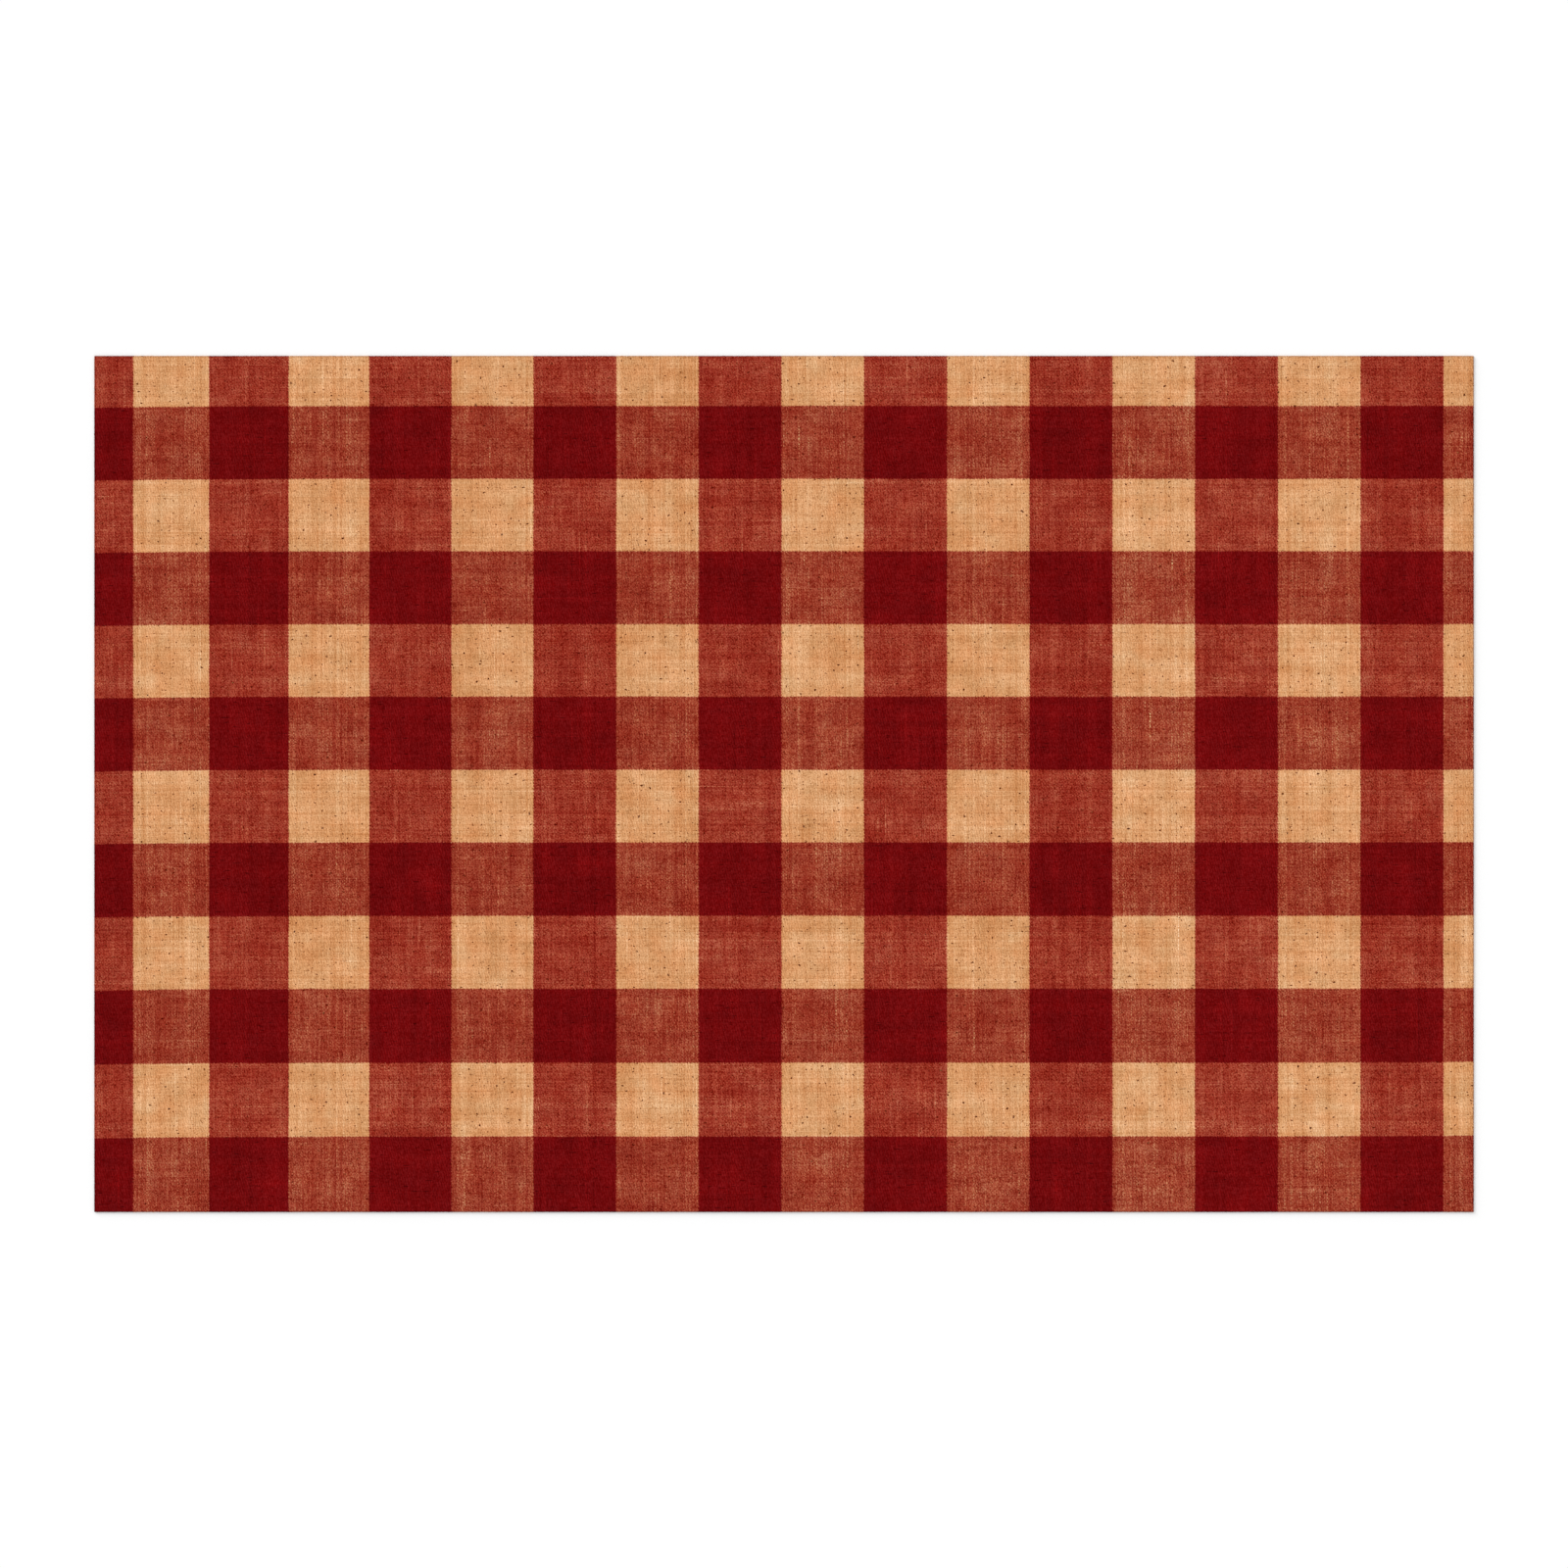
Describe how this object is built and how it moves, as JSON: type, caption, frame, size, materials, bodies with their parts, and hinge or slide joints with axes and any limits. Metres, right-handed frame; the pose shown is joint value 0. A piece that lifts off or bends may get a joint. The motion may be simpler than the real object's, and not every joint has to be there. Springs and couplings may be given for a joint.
{
  "type": "cotton twill fabric",
  "caption": "Flat rectangular cut length of cotton twill, woven in a large red and tan check, to lay out, cover with or sew from.",
  "frame": {"origin": "centre of the sheet's flat underside, which rests on the surface", "axes": "+X along the weft, the longer side; +Y along the warp, towards the top edge in the picture; +Z out of the face"},
  "size_m": [0.7366, 0.4572, 0.001],
  "materials": {
    "cotton_twill": "matte"
  },
  "bodies": {
    "root": {"cloth": "cotton_twill"}
  },
  "joints": []
}
